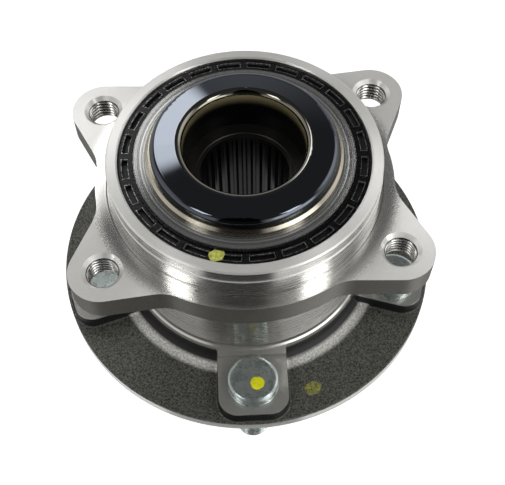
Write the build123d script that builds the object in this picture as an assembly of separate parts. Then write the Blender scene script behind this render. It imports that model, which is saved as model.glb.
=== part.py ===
"""Driven wheel hub bearing: flanged hub, four-lug outer ring, two ball rows, seals and wheel studs.

Millimetres. +Z runs along the spin axis towards the car (inboard), and the origin is on that
axis in the face that the brake disc and the wheel are clamped against.
"""
from build123d import *
import os
from math import cos, hypot, pi, radians, sin, tan

# Wheel side of the hub: flange, stud pads, pilots and nut recess
web_thickness = 4.4
rim_chamfer = 0.4
ring_height = 11.8              # turned ring round the neck, above the wheel face
ring_chamfer = 0.6
seat_height = 9.5               # stud seats on the pads
seat_start = 46.0               # from the spin axis to the step that ends a seat
neck_cove_radius = 4.6
pad_half_width = 9.8
wide_pad_half_width = 12.0      # the pad of the first stud
pad_corner_radius = 7.0
pad_draft = 4.0                 # degrees
pad_foot_radius = 0.8
pad_rim_margin = 0.05
stud_count = 5
stud_circle_radius = 56.0
flange_rim_width = 13.0         # outside the stud circle
first_stud_angle = -91.9        # degrees, where the hub stands at rest
disc_pilot_radius = 34.0
disc_pilot_height = 5.5
wheel_pilot_step = 1.0
pilot_height = 13.0
pilot_lead = 1.6
pilot_wall = 7.0
nut_recess_draft = 1.4
nut_seat_height = 2.0

# Wheel studs
stud_thread_radius = 6.0
stud_reach = 30.0
stud_tip_taper = 3.0
knurl_height = 0.45
knurl_fit = 0.05
stud_collar_width = 2.45
stud_collar_height = 0.8
stud_head_radius = 8.7
stud_head_height = 4.45
stud_head_bevel = 1.1
stud_head_bevel_drop = 0.4

# Ball rows
ball_radius = 5.16
ball_count = 13
pitch_radius = 32.6
groove_conformity = 1.04        # groove radius over ball radius
ball_play = 0.06
high_shoulder_drop = 0.5        # below the ball centres
low_shoulder_rise = 1.36        # above the groove floor
outer_land_rise = 1.8           # above the ball centres
ball_entry_play = 0.34
cage_inner_gap = 1.1
cage_thickness = 3.0
cage_prong = 3.2
cage_back = 6.3
cage_pocket_play = 0.15

# Outer ring with its lug plate
flange_gap = 1.3                # between the hub's raised ring and the outer ring
outer_ring_length = 54.1
outboard_row_depth = 14.9
inboard_row_depth = 14.7
body_wall = 5.3
body_fillet = 2.5
mouth_step = 3.3
mouth_depth = 8.3
spigot_wall = 4.1
spigot_lead_step = 0.3
spigot_lead_length = 5.0
edge_chamfer = 0.5
relief_depth = 0.5              # groove in the plate round the spigot's foot
relief_width = 1.2
plate_depth = 13.0              # from the spigot face down to the plate
plate_thickness = 9.5
plate_margin = 4.8              # waist of the plate outside the spigot
plate_fillet = 14.0
lug_spacing_x = 95.4
lug_spacing_y = 65.6
lug_radius = 11.05
lug_flare = 30.0                # degrees, each flank to the lug's centre line
lug_root_share = 0.35
lug_hole_radius = 5.4
lug_hole_chamfer = 1.3
outboard_seat_step = 0.5
outboard_seat_depth = 8.5

# Spindle, spline and formed lip of the hub
inner_ring_wall = 3.44
stem_wall = 4.0
inner_ring_tail = 8.0           # from the ball centres to the hub's shoulder
counterbore_depth = 10.0        # from the spigot face down to the spline
spline_teeth = 29
spline_major_radius = 16.1
spline_minor_radius = 14.9
spline_chamfer = 0.25
inner_ring_rise = 2.2           # its face stands over the spigot face
inner_ring_chamfer = 0.9
lip_overhang = 6.5              # over the inner ring's face
lip_edge_rise = 3.5
lip_slope = 8.5                 # degrees, down towards the lip's edge
lip_edge_round = 2.2
lip_foot_chamfer = 0.8
lip_mouth_round = 2.2
flange_neck_round = 3.0
neck_ring_margin = 0.8          # outside the outer ring's body
seal_land_step = 0.9

# Inboard seal stack
press_fit = 0.02
seal_running_fit = 0.06
slinger_thickness = 0.8
slinger_width = 3.25
slinger_drop = 0.3              # slinger face below the spigot face
slinger_sleeve_length = 6.4
tone_ring_thickness = 0.8
tone_ring_gap = 0.5             # to the outer ring's mouth
upstand_gap = 0.25              # round the slinger's edge
upstand_width = 0.6
upstand_drop = 0.25             # below the slinger's face
window_count = 24
window_width = 2.05
window_rim = 0.85               # outside the windows
bar_angle = 3.6                 # degrees
first_window_angle = 3.7        # degrees, where the hub stands at rest
case_thickness = 0.75
case_gap = 0.7                  # under the tone ring
case_sleeve_length = 5.2
lip_band_width = 2.15
lip_band_length = 3.6

# Outboard seal
outboard_case_inset = 1.5
outboard_case_length = 6.4
outboard_case_width = 3.0
side_lip_thickness = 0.9
side_lip_gap = 0.3
side_lip_flare = 0.9

# Radii that follow from the ball rows and the stud circle
groove_radius = ball_radius * groove_conformity
high_shoulder_radius = pitch_radius - high_shoulder_drop
low_shoulder_radius = pitch_radius - ball_radius + low_shoulder_rise
outer_land_radius = pitch_radius + outer_land_rise
ball_entry_radius = pitch_radius + ball_radius + ball_entry_play
cage_inner_radius = high_shoulder_radius + cage_inner_gap
stem_radius = pitch_radius - ball_radius - inner_ring_wall
counterbore_radius = stem_radius - stem_wall
body_radius = ball_entry_radius + body_wall
mouth_radius = ball_entry_radius + mouth_step
spigot_radius = mouth_radius + spigot_wall
outboard_seat_radius = ball_entry_radius + outboard_seat_step
seal_land_radius = high_shoulder_radius + seal_land_step
neck_ring_radius = body_radius + neck_ring_margin
lip_radius = stem_radius + lip_overhang
flange_radius = stud_circle_radius + flange_rim_width

# Heights above the wheel face
body_end = ring_height + flange_gap
root_height = ring_height - ring_chamfer
face_height = body_end + outer_ring_length
plate_top = face_height - plate_depth
plate_bottom = plate_top - plate_thickness
inboard_row_height = face_height - inboard_row_depth
outboard_row_height = body_end + outboard_row_depth
shoulder_height = inboard_row_height - inner_ring_tail
inner_ring_face = face_height + inner_ring_rise
counterbore_floor = face_height - counterbore_depth

# Seal stack, from the slinger outwards
slinger_top = face_height - slinger_drop
slinger_inner = high_shoulder_radius + press_fit
slinger_sleeve_radius = slinger_inner + slinger_thickness
slinger_radius = slinger_sleeve_radius + slinger_width
tone_top = slinger_top - slinger_thickness
tone_bottom = tone_top - tone_ring_thickness
upstand_radius = slinger_radius + upstand_gap
tone_ring_radius = mouth_radius - tone_ring_gap
window_outer_radius = tone_ring_radius - window_rim
case_top = tone_bottom - case_gap
case_hole_radius = slinger_sleeve_radius + lip_band_width

knurl_radius = stud_thread_radius + knurl_height
lug_x = lug_spacing_x / 2
lug_y = lug_spacing_y / 2


def turned(*outline):
    """A solid of revolution about the spin axis from an outline of radius and height points."""
    face = Plane.XZ * make_face(Polyline(*outline, close=True))
    return revolve(face, Axis.Z)


def round_bar(radius, bottom, top):
    return Pos(0, 0, bottom) * Cylinder(radius, top - bottom, align=(Align.CENTER, Align.CENTER, Align.MIN))


def torus_at(centre_radius, height, tube_radius):
    """The ring-shaped cutter of a ball groove."""
    face = Plane.XZ * Pos(centre_radius, height) * Circle(tube_radius)
    return revolve(face, Axis.Z)


def on_circle(radius, count, first=0.0):
    """Places round the spin axis, each turned to face outwards."""
    return [Rot(0, 0, first + 360 * i / count) * Pos(radius, 0, 0) for i in range(count)]


def outer_groove(height):
    return torus_at(pitch_radius + ball_radius + ball_play - groove_radius, height, groove_radius)


def inner_groove(height):
    return torus_at(pitch_radius - ball_radius - ball_play + groove_radius, height, groove_radius)


def is_ring_edge(edge, radius, height):
    """True for a full turned edge of the given radius and height."""
    if edge.geom_type != GeomType.CIRCLE:
        return False
    return abs(edge.radius - radius) < 0.01 and abs(edge.arc_center.Z - height) < 0.01


def make_plate_outline():
    """Round waist with four tapering lugs, blended where their flanks meet it."""
    waist = spigot_radius + plate_margin
    reach = hypot(lug_x, lug_y)
    root_radius = lug_radius + reach * (1 - lug_root_share) * sin(radians(lug_flare))
    outline = Circle(waist)
    for sx in (-1, 1):
        for sy in (-1, 1):
            tip = Pos(sx * lug_x, sy * lug_y) * Circle(lug_radius)
            root = Pos(sx * lug_x * lug_root_share, sy * lug_y * lug_root_share) * Circle(root_radius)
            outline += make_hull(tip.edges() + root.edges())
    corners = [v for v in outline.vertices() if abs(v.center().length - waist) < 0.01]
    return fillet(corners, plate_fillet)


def make_outer_ring():
    turned_body = turned(
        (outboard_seat_radius, body_end),
        (body_radius - edge_chamfer, body_end),
        (body_radius, body_end + edge_chamfer),
        (body_radius, plate_top - plate_thickness / 2),
        (spigot_radius, plate_top - plate_thickness / 2),
        (spigot_radius, face_height - spigot_lead_length),
        (spigot_radius - spigot_lead_step, face_height - spigot_lead_length + spigot_lead_step),
        (spigot_radius - spigot_lead_step, face_height - edge_chamfer),
        (spigot_radius - spigot_lead_step - edge_chamfer, face_height),
        (mouth_radius + edge_chamfer, face_height),
        (mouth_radius, face_height - edge_chamfer),
        (mouth_radius, face_height - mouth_depth),
        (ball_entry_radius, face_height - mouth_depth),
        (ball_entry_radius, inboard_row_height),
        (outer_land_radius, inboard_row_height),
        (outer_land_radius, outboard_row_height),
        (ball_entry_radius, outboard_row_height),
        (ball_entry_radius, body_end + outboard_seat_depth),
        (outboard_seat_radius, body_end + outboard_seat_depth),
    )
    plate = extrude(Pos(0, 0, plate_bottom) * make_plate_outline(), plate_thickness)
    plate -= round_bar(body_radius, plate_bottom, plate_top)
    blank = turned_body + plate
    root = blank.edges().filter_by(lambda e: is_ring_edge(e, body_radius, plate_bottom))
    blank = fillet(root, body_fillet)
    blank -= turned(
        (spigot_radius, plate_top - relief_depth),
        (spigot_radius + relief_width, plate_top - relief_depth),
        (spigot_radius + relief_width, plate_top + relief_depth),
        (spigot_radius, plate_top + relief_depth),
    )
    for row in (inboard_row_height, outboard_row_height):
        blank -= outer_groove(row)
    hole = round_bar(lug_hole_radius, plate_bottom - body_fillet, plate_top + body_fillet)
    hole += Pos(0, 0, plate_top - lug_hole_chamfer / 2) * Cone(
        lug_hole_radius, lug_hole_radius + lug_hole_chamfer, lug_hole_chamfer
    )
    for place in GridLocations(lug_spacing_x, lug_spacing_y, 2, 2):
        blank -= place * hole
    return blank


def make_spline_cutter():
    """The splined hole: a round of the minor radius with tapering grooves out to the major."""
    pitch = 2 * pi / spline_teeth
    root_share = 0.12
    mouth_share = 0.32
    points = []
    for i in range(spline_teeth):
        for share, radius in ((-mouth_share, spline_minor_radius), (-root_share, spline_major_radius),
                              (root_share, spline_major_radius), (mouth_share, spline_minor_radius)):
            angle = (i + share) * pitch
            points.append((radius * cos(angle), radius * sin(angle)))
    section = make_face(Polyline(*points, close=True))
    return extrude(Pos(0, 0, nut_seat_height - web_thickness) * section, counterbore_floor)


def make_hub_turning():
    """Everything of the hub that is turned: pilots, flange, neck, raceway, stem and formed lip."""
    cove = min(neck_cove_radius, 0.8 * (root_height - web_thickness))
    wall_foot_radius = neck_ring_radius + 0.3 * (root_height - web_thickness - cove)
    wheel_pilot_radius = disc_pilot_radius - wheel_pilot_step
    recess_radius = wheel_pilot_radius - pilot_wall
    land_top = outboard_row_height - groove_radius
    lip_top = inner_ring_face + lip_edge_rise
    crest_radius = counterbore_radius + lip_mouth_round
    crest_top = lip_top + (lip_radius - lip_edge_round - crest_radius) * tan(radians(lip_slope))
    with BuildSketch(Plane.XZ) as profile:
        with BuildLine():
            inside = Polyline(
                (spline_minor_radius, counterbore_floor),
                (spline_minor_radius, nut_seat_height),
                (recess_radius - nut_recess_draft, nut_seat_height),
                (recess_radius, -pilot_height),
                (wheel_pilot_radius - pilot_lead, -pilot_height),
                (wheel_pilot_radius, -pilot_height + pilot_lead),
                (wheel_pilot_radius, -disc_pilot_height - wheel_pilot_step / 2),
                (disc_pilot_radius, -disc_pilot_height),
                (disc_pilot_radius, 0),
                (flange_radius - rim_chamfer, 0),
                (flange_radius, rim_chamfer),
                (flange_radius, web_thickness - rim_chamfer),
                (flange_radius - rim_chamfer, web_thickness),
                (wall_foot_radius + cove, web_thickness),
            )
            foot = JernArc(inside @ 1, (-1, 0), cove, -90)
            neck = Polyline(
                foot @ 1,
                (neck_ring_radius, root_height),
                (neck_ring_radius - ring_chamfer, ring_height),
                (seal_land_radius, ring_height),
                (seal_land_radius, land_top - seal_land_step),
                (high_shoulder_radius, land_top),
                (high_shoulder_radius, outboard_row_height),
                (low_shoulder_radius, outboard_row_height),
                (low_shoulder_radius, shoulder_height - edge_chamfer),
                (low_shoulder_radius - edge_chamfer, shoulder_height),
                (stem_radius, shoulder_height),
                (stem_radius, inner_ring_face),
                (lip_radius - lip_foot_chamfer, inner_ring_face),
                (lip_radius, inner_ring_face + lip_foot_chamfer),
                (lip_radius, lip_top - lip_edge_round),
            )
            edge = TangentArc(neck @ 1, (lip_radius - lip_edge_round, lip_top), tangent=(0, 1))
            slope = Line(edge @ 1, (crest_radius, crest_top))
            mouth_end = (counterbore_radius, crest_top - lip_mouth_round)
            mouth = TangentArc(slope @ 1, mouth_end, tangent=slope % 1)
            Polyline(
                mouth @ 1,
                (counterbore_radius, counterbore_floor),
                (spline_minor_radius, counterbore_floor),
            )
        make_face()
    turning = revolve(profile.sketch, Axis.Z)
    neck_foot = turning.edges().filter_by(lambda e: is_ring_edge(e, seal_land_radius, ring_height))
    return fillet(neck_foot, flange_neck_round)


def make_stud_pad(half_width):
    """One drafted pad along X, as high as the root of the turned ring."""
    sunk = web_thickness / 5
    height = root_height - web_thickness + sunk
    widening = height * tan(radians(pad_draft))
    foot_reach = flange_radius - rim_chamfer - pad_rim_margin - pad_foot_radius
    foot = RectangleRounded(foot_reach - seal_land_radius, 2 * (half_width + widening), pad_corner_radius)
    foot_centre = (foot_reach + seal_land_radius) / 2
    pad = extrude(Pos(foot_centre, 0, web_thickness - sunk) * foot, height, taper=pad_draft)
    return pad - round_bar(seal_land_radius, web_thickness - sunk, root_height)


def make_seat_cutter():
    """Clears the top of a pad down to the stud's seat, square across it from a step near the neck."""
    width = 2 * seat_start * tan(pi / stud_count)
    block = Box(flange_radius, width, ring_height, align=(Align.MIN, Align.CENTER, Align.MIN))
    return Pos(0, 0, seat_height) * block


def is_pad_foot(edge):
    """True for the edges where a pad's walls meet the web, the cove and the neck ring."""
    start, middle, end = edge @ 0, edge @ 0.5, edge @ 1
    radius = hypot(middle.X, middle.Y)
    if radius < neck_ring_radius or not web_thickness - 0.01 < middle.Z < root_height - 0.01:
        return False
    if abs(hypot(start.X, start.Y) - radius) < 0.01 and abs(hypot(end.X, end.Y) - radius) < 0.01:
        return False
    return edge.geom_type != GeomType.LINE or abs(start.Z - end.Z) < 0.01


def make_hub():
    hub = make_hub_turning()
    wide_pad = make_stud_pad(wide_pad_half_width)
    pad = make_stud_pad(pad_half_width)
    for number, place in enumerate(on_circle(0, stud_count, first_stud_angle)):
        hub += place * (pad if number else wide_pad)
    hub = fillet(hub.edges().filter_by(is_pad_foot), pad_foot_radius)
    seat_cutter = make_seat_cutter()
    for place in on_circle(seat_start, stud_count, first_stud_angle):
        hub -= place * seat_cutter
    hub -= inner_groove(outboard_row_height)
    stud_hole = round_bar(knurl_radius + knurl_fit, -seat_height, 2 * seat_height)
    for place in on_circle(stud_circle_radius, stud_count, first_stud_angle):
        hub -= place * stud_hole
    hub -= make_spline_cutter()
    return hub - Pos(0, 0, counterbore_floor - spline_chamfer / 2) * Cone(
        spline_major_radius, spline_major_radius + spline_chamfer, spline_chamfer
    )


def make_inner_ring():
    bore = stem_radius + press_fit
    blank = turned(
        (bore, shoulder_height),
        (low_shoulder_radius - inner_ring_chamfer, shoulder_height),
        (low_shoulder_radius, shoulder_height + inner_ring_chamfer),
        (low_shoulder_radius, inboard_row_height),
        (high_shoulder_radius, inboard_row_height),
        (high_shoulder_radius, inner_ring_face - inner_ring_chamfer),
        (high_shoulder_radius - inner_ring_chamfer, inner_ring_face),
        (bore, inner_ring_face),
    )
    return blank - inner_groove(inboard_row_height)


def make_cage(height, seal_side):
    """Snap cage: a ring on the seal side of the balls (+1 up, -1 down) with prongs between them."""
    outer = cage_inner_radius + cage_thickness
    back = height + seal_side * cage_back
    tips = height - seal_side * cage_prong
    cage = turned((cage_inner_radius, back), (outer, back), (outer, tips), (cage_inner_radius, tips))
    pocket = Sphere(ball_radius + cage_pocket_play)
    for place in on_circle(pitch_radius, ball_count):
        cage -= Pos(0, 0, height) * place * pocket
    return cage


def make_slinger():
    return turned(
        (slinger_inner, slinger_top),
        (slinger_inner, slinger_top - slinger_sleeve_length),
        (slinger_sleeve_radius, slinger_top - slinger_sleeve_length),
        (slinger_sleeve_radius, tone_top),
        (slinger_radius, tone_top),
        (slinger_radius, slinger_top),
    )


def make_tone_ring():
    """Pressed ring held under the slinger's flange, with an upstand round its edge and windows."""
    inner = slinger_sleeve_radius + press_fit
    blank = turned(
        (inner, tone_bottom),
        (tone_ring_radius, tone_bottom),
        (tone_ring_radius, tone_top),
        (upstand_radius + upstand_width, tone_top),
        (upstand_radius + upstand_width, slinger_top - upstand_drop),
        (upstand_radius, slinger_top - upstand_drop),
        (upstand_radius, tone_top),
        (inner, tone_top),
    )
    window_angle = 360 / window_count - bar_angle
    sector = Plane.XZ * Pos(window_outer_radius - window_width / 2, tone_top) * Rectangle(
        window_width, 4 * tone_ring_thickness
    )
    window = Rot(0, 0, -window_angle / 2) * revolve(sector, Axis.Z, revolution_arc=window_angle)
    for place in on_circle(0, window_count, first_window_angle):
        blank -= place * window
    return blank


def make_inboard_seal_case():
    outer = mouth_radius - press_fit
    return turned(
        (case_hole_radius, case_top),
        (case_hole_radius, case_top - case_thickness),
        (outer - case_thickness, case_top - case_thickness),
        (outer - case_thickness, case_top - case_sleeve_length),
        (outer, case_top - case_sleeve_length),
        (outer, case_top),
    )


def make_inboard_seal_lip():
    """Rubber band bonded to the case's inner edge, with two lips on the slinger's sleeve."""
    touch = slinger_sleeve_radius + seal_running_fit
    notch = lip_band_length / 4
    return turned(
        (case_hole_radius, case_top),
        (touch + notch / 2, case_top),
        (touch, case_top - notch / 2),
        (touch + notch, case_top - 2 * notch),
        (touch, case_top - 3.5 * notch),
        (touch + notch / 2, case_top - lip_band_length),
        (case_hole_radius, case_top - 3 * notch),
    )


def make_outboard_seal_case():
    outer = outboard_seat_radius - press_fit
    low = body_end + outboard_case_inset
    high = low + outboard_case_length
    hole = outer - outboard_case_width
    return turned(
        (outer - case_thickness, low),
        (outer, low),
        (outer, high),
        (hole, high),
        (hole, high - case_thickness),
        (outer - case_thickness, high - case_thickness),
    )


def make_outboard_seal_lip():
    """Rubber bonded inside the case, with a radial lip and a side lip that wipes the flange."""
    touch = seal_land_radius + seal_running_fit
    low = body_end + outboard_case_inset
    high = low + outboard_case_length - case_thickness
    root = outboard_seat_radius - press_fit - case_thickness
    wipe = ring_height + side_lip_gap
    wipe_radius = root + side_lip_flare
    return turned(
        (touch, high),
        (root, high),
        (root, low - side_lip_thickness),
        (wipe_radius, wipe),
        (wipe_radius - 1.5 * side_lip_thickness, wipe),
        (root - side_lip_thickness, low),
        (touch + 3 * side_lip_thickness, low + side_lip_thickness),
        (touch, high - side_lip_thickness),
    )


def make_wheel_stud():
    """Serrated press-in stud: round head on the pad, knurl through the flange, thread below."""
    collar_radius = knurl_radius + stud_collar_width
    collar_top = seat_height + stud_collar_height
    head_top = seat_height + stud_head_height
    return turned(
        (0, -stud_reach),
        (stud_thread_radius - stud_tip_taper / 2, -stud_reach),
        (stud_thread_radius, -stud_reach + stud_tip_taper),
        (stud_thread_radius, 0),
        (knurl_radius, knurl_height),
        (knurl_radius, seat_height),
        (collar_radius, seat_height),
        (collar_radius, collar_top - rim_chamfer / 2),
        (collar_radius - rim_chamfer / 2, collar_top),
        (stud_head_radius, collar_top),
        (stud_head_radius, head_top - stud_head_bevel_drop),
        (stud_head_radius - stud_head_bevel, head_top),
        (0, head_top),
    )


def make_row(name, height, seal_side):
    """A ball row: its cage, and its balls one by one."""
    ball = Sphere(ball_radius)
    row = {f"{name}_cage": make_cage(height, seal_side)}
    for number, place in enumerate(on_circle(pitch_radius, ball_count), 1):
        row[f"{name}_ball_{number}"] = Pos(0, 0, height) * place * ball
    return row


def make_all():
    pieces = {
        "outer_ring": make_outer_ring(),
        "hub": make_hub(),
        "inner_ring": make_inner_ring(),
        "slinger": make_slinger(),
        "tone_ring": make_tone_ring(),
        "inboard_seal_case": make_inboard_seal_case(),
        "inboard_seal_lip": make_inboard_seal_lip(),
        "outboard_seal_case": make_outboard_seal_case(),
        "outboard_seal_lip": make_outboard_seal_lip(),
    }
    pieces.update(make_row("inboard", inboard_row_height, 1))
    pieces.update(make_row("outboard", outboard_row_height, -1))
    stud = make_wheel_stud()
    for number, place in enumerate(on_circle(stud_circle_radius, stud_count, first_stud_angle), 1):
        pieces[f"wheel_stud_{number}"] = place * stud
    return pieces


os.makedirs("parts", exist_ok=True)
for name, piece in make_all().items():
    export_step(piece, f"parts/{name}.step")
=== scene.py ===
"""Looks of a driven wheel hub bearing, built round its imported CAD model.

Metres. +Z runs along the spin axis towards the car, as in the CAD model, and the part stands on
the tips of its wheel studs. The sections follow the unit as it is put together.
"""
from math import cos, pi, radians, sin

import bpy
from mathutils import Matrix, Vector


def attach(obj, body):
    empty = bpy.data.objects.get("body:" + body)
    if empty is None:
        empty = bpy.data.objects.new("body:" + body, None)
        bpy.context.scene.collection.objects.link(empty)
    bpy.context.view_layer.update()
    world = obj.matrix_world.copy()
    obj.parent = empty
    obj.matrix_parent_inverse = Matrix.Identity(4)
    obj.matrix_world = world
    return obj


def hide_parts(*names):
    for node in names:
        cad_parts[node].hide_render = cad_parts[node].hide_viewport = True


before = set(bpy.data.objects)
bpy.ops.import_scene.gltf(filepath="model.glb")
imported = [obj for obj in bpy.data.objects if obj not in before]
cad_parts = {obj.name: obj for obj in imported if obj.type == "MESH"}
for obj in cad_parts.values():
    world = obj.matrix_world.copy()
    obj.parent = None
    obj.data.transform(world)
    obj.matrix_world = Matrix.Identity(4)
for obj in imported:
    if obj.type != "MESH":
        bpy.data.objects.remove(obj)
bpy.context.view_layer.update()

# Outer ring
# Forged bearing steel that bolts to the knuckle: die-forged plate with four tapped lugs, then
# turned and ground all over but for the plate's edge and underside, which keep the forging's skin.
mm = 0.001
plate_top = 54.2 * mm
lug_x = 47.7 * mm
lug_y = 32.8 * mm
lug_mouth_radius = 6.8 * mm
forged_edge_radius = 46.4 * mm
turned_radius = 48.5 * mm        # the plate is finely turned up to here
milled_radius = 55.0 * mm        # and milled from here on
spigot_rise = 1.0 * mm           # what stands higher over the plate belongs to the spigot
skin_drop = 0.1 * mm             # the forging's skin starts this far below the plate's top
level_from = 0.6                 # a normal whose rise is over this belongs to a level face
turning_pitch = 0.45 * mm        # real feed is 0.15 mm, drawn coarser to show
forging_grain = 0.55 * mm        # real scale is 0.1 to 0.3 mm, drawn coarser to show
forging_pit_depth = 0.10 * mm
ground_grain = 0.40 * mm         # real grit marks are 0.05 mm, drawn coarser to show
tool_mark_depth = 0.012 * mm
lathe_anisotropy = 0.95
across_the_grooves = 0.25        # a quarter turn from the tangent that runs round the axis


def linear(hex_colour):
    """The linear RGBA of an sRGB hex colour."""
    shares = [int(hex_colour[i:i + 2], 16) / 255 for i in (1, 3, 5)]
    return [s / 12.92 if s <= 0.04045 else ((s + 0.055) / 1.055) ** 2.4 for s in shares] + [1.0]


def add_node(tree, kind, inputs=(), **settings):
    """Adds a node, sets it up, and feeds its inputs, by name or number, from values and outputs."""
    node = tree.nodes.new("ShaderNode" + kind)
    for name, value in settings.items():
        setattr(node, name, value)
    for key, value in dict(inputs).items():
        if isinstance(value, bpy.types.NodeSocket):
            tree.links.new(value, node.inputs[key])
        else:
            node.inputs[key].default_value = value
    return node.outputs


def start_material(name):
    """An empty material's node tree."""
    material = bpy.data.materials.new(name)
    material.use_nodes = True
    material.node_tree.nodes.clear()
    return material, material.node_tree


def finish_material(tree, **inputs):
    """Puts the finish on the surface: each input of the shader by its name, spaces as underscores."""
    named = {key.replace("_", " "): value for key, value in inputs.items()}
    shader = add_node(tree, "BsdfPrincipled", named)
    add_node(tree, "OutputMaterial", {"Surface": shader["BSDF"]})


def read_place(tree):
    """Object coordinates, with the distance from the spin axis and the height."""
    place = add_node(tree, "TexCoord")["Object"]
    flat = add_node(tree, "VectorMath", {0: place, 1: (1, 1, 0)}, operation="MULTIPLY")["Vector"]
    radius = add_node(tree, "VectorMath", {0: flat}, operation="LENGTH")["Value"]
    height = add_node(tree, "SeparateXYZ", {0: place})["Z"]
    return place, radius, height


def turning_marks(tree, radius, height, pitch):
    """Rings left by the tool, each of its own depth, that follow the radius and the height."""
    along = add_node(tree, "Math", {0: radius, 1: height}, operation="ADD")["Value"]
    return add_node(tree, "TexNoise", {"W": along, "Scale": 1 / pitch, "Detail": 1.0},
                    noise_dimensions="1D")["Fac"]


def make_machined_forging():
    """Bearing steel, turned and ground: bright, its gloss drawn out across the tool's rings. The
    milled lugs are paler and less glossy, and the forging's skin is dull, dark and pitted."""
    material, tree = start_material("machined_bearing_steel_forging")
    place, radius, height = read_place(tree)
    mirrored = add_node(tree, "VectorMath", {0: place}, operation="ABSOLUTE")["Vector"]
    from_lug = add_node(tree, "VectorMath", {0: mirrored, 1: (lug_x, lug_y, 0)},
                        operation="SUBTRACT")["Vector"]
    flat = add_node(tree, "VectorMath", {0: from_lug, 1: (1, 1, 0)}, operation="MULTIPLY")["Vector"]
    lug_distance = add_node(tree, "VectorMath", {0: flat}, operation="LENGTH")["Value"]
    outside_hole = add_node(tree, "Math", {0: lug_distance, 1: lug_mouth_radius},
                            operation="GREATER_THAN")["Value"]
    low = add_node(tree, "Math", {0: height, 1: plate_top - skin_drop}, operation="LESS_THAN")["Value"]
    far = add_node(tree, "Math", {0: radius, 1: forged_edge_radius}, operation="GREATER_THAN")["Value"]
    edge = add_node(tree, "Math", {0: low, 1: far}, operation="MULTIPLY")["Value"]
    skin = add_node(tree, "Math", {0: edge, 1: outside_hole}, operation="MULTIPLY")["Value"]
    upright = add_node(tree, "SeparateXYZ", {0: add_node(tree, "NewGeometry")["True Normal"]})["Z"]
    level = add_node(tree, "Math", {0: upright, 1: level_from}, operation="GREATER_THAN")["Value"]
    rings = turning_marks(tree, radius, height, turning_pitch)
    ground = add_node(tree, "TexNoise", {"Vector": place, "Scale": 1 / ground_grain, "Detail": 2.0})["Fac"]
    scale = add_node(tree, "TexNoise", {"Vector": place, "Scale": 1 / forging_grain, "Detail": 4.0})["Fac"]
    bright = add_node(tree, "Mix", {0: ground, 6: linear("#d3d2ce"), 7: linear("#e4e3df")},
                      data_type="RGBA")[2]
    dull = add_node(tree, "Mix", {0: scale, 6: linear("#4a4945"), 7: linear("#8b8983")},
                    data_type="RGBA")[2]
    pale = add_node(tree, "Mix", {0: ground, 6: linear("#e6e5e1"), 7: linear("#f5f4f0")},
                    data_type="RGBA")[2]
    bright = add_node(tree, "Mix", {0: level, 6: bright, 7: pale}, data_type="RGBA")[2]
    colour = add_node(tree, "Mix", {0: skin, 6: bright, 7: dull}, data_type="RGBA")[2]
    side_gloss = add_node(tree, "MapRange", {0: rings, 1: 0.3, 2: 0.7, 3: 0.22, 4: 0.30})[0]
    on_plate = add_node(tree, "Math", {0: height, 1: plate_top + spigot_rise}, operation="LESS_THAN")["Value"]
    milled = add_node(tree, "MapRange", {0: radius, 1: turned_radius, 2: milled_radius},
                      interpolation_type="SMOOTHSTEP")[0]
    milled = add_node(tree, "Mix", {0: on_plate, 2: 1.0, 3: milled}, data_type="FLOAT")[0]
    face_gloss = add_node(tree, "MapRange", {0: ground, 1: 0.3, 2: 0.7, 3: 0.35, 4: 0.43})[0]
    face_gloss = add_node(tree, "Mix", {0: milled, 2: 0.11, 3: face_gloss}, data_type="FLOAT")[0]
    turned = add_node(tree, "Mix", {0: level, 2: side_gloss, 3: face_gloss}, data_type="FLOAT")[0]
    rough = add_node(tree, "MapRange", {0: scale, 1: 0.3, 2: 0.7, 3: 0.45, 4: 0.62})[0]
    roughness = add_node(tree, "Mix", {0: skin, 2: turned, 3: rough}, data_type="FLOAT")[0]
    marks = add_node(tree, "Bump", {"Height": rings, "Strength": 0.2, "Distance": tool_mark_depth})["Normal"]
    pits = add_node(tree, "Bump", {"Height": scale, "Strength": 0.6, "Distance": forging_pit_depth})["Normal"]
    normal = add_node(tree, "Mix", {0: skin, 4: marks, 5: pits}, data_type="VECTOR")[1]
    face_metal = add_node(tree, "Mix", {0: milled, 2: 0.97, 3: 0.45}, data_type="FLOAT")[0]
    metal = add_node(tree, "Mix", {0: level, 2: 0.97, 3: face_metal}, data_type="FLOAT")[0]
    metal = add_node(tree, "Mix", {0: skin, 2: metal, 3: 0.45}, data_type="FLOAT")[0]
    round_axis = add_node(tree, "Tangent", direction_type="RADIAL", axis="Z")["Tangent"]
    finish_material(tree, Base_Color=colour, Roughness=roughness, Normal=normal, Tangent=round_axis,
                    Metallic=metal, Anisotropic=lathe_anisotropy, Anisotropic_Rotation=across_the_grooves)
    return material


def dress(material, *names):
    """Puts a material on CAD nodes."""
    for name in names:
        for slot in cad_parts[name].material_slots:
            slot.material = material


dress(make_machined_forging(), "outer_ring")

# Threads of the four lugs
# M12 x 1.5, cut by a tap right through the plate, so their flanks are bare bright steel, and their
# roots are coloured dark.
thread_pitch = 1.5 * mm
thread_rows = 10                 # rows of points in a pitch
thread_columns = 56
core_radius = 5.4 * mm
thread_depth = 0.55 * mm
plate_bottom = 44.7 * mm
countersink = 1.3 * mm
thread_start = 0.4 * mm          # above the plate's underside
sleeve_back = 0.02 * mm          # the sleeve's outside, sunk into the forging
root_inset = 0.01 * mm           # the thread's roots stand this far inside it
dark_root_reach = 0.1 * mm             # from the core radius inwards, dark up to here
steel_flank_reach = 0.5 * mm           # and bare steel from here


def ridge(turns):
    """Height of a rolled or cut thread's flank, 0 at the root and 1 at the crest, with flats on both."""
    part = turns % 1.0
    return min(1.0, max(0.0, 1.35 - 3.7 * abs(part - 0.5)))


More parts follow.
